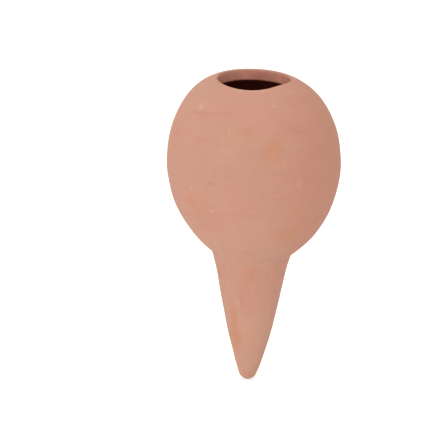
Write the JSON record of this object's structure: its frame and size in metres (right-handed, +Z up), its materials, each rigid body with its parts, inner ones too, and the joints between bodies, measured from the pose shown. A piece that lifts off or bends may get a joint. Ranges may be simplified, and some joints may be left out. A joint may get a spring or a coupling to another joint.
{
  "type": "self watering spike",
  "caption": "Hollow unglazed clay bulb with an open mouth on a hollow tapering spike. Pushed into pot soil and filled, it lets water seep out through its wall.",
  "frame": {"origin": "centre of the joint between bulb and spike, on the spike's axis, which is the soil line in use", "axes": "+Z up through the mouth, -Y towards the viewer of the picture, +X to that viewer's right"},
  "size_m": [0.0644, 0.0644, 0.1163],
  "materials": {
    "fired_clay": "matt, unglazed, fine turning lines",
    "fired_slip": "matt, unglazed, brushed"
  },
  "bodies": {
    "root": {"bulb": "fired_clay", "seam_slip": "fired_slip", "spike": "fired_clay"}
  },
  "joints": []
}
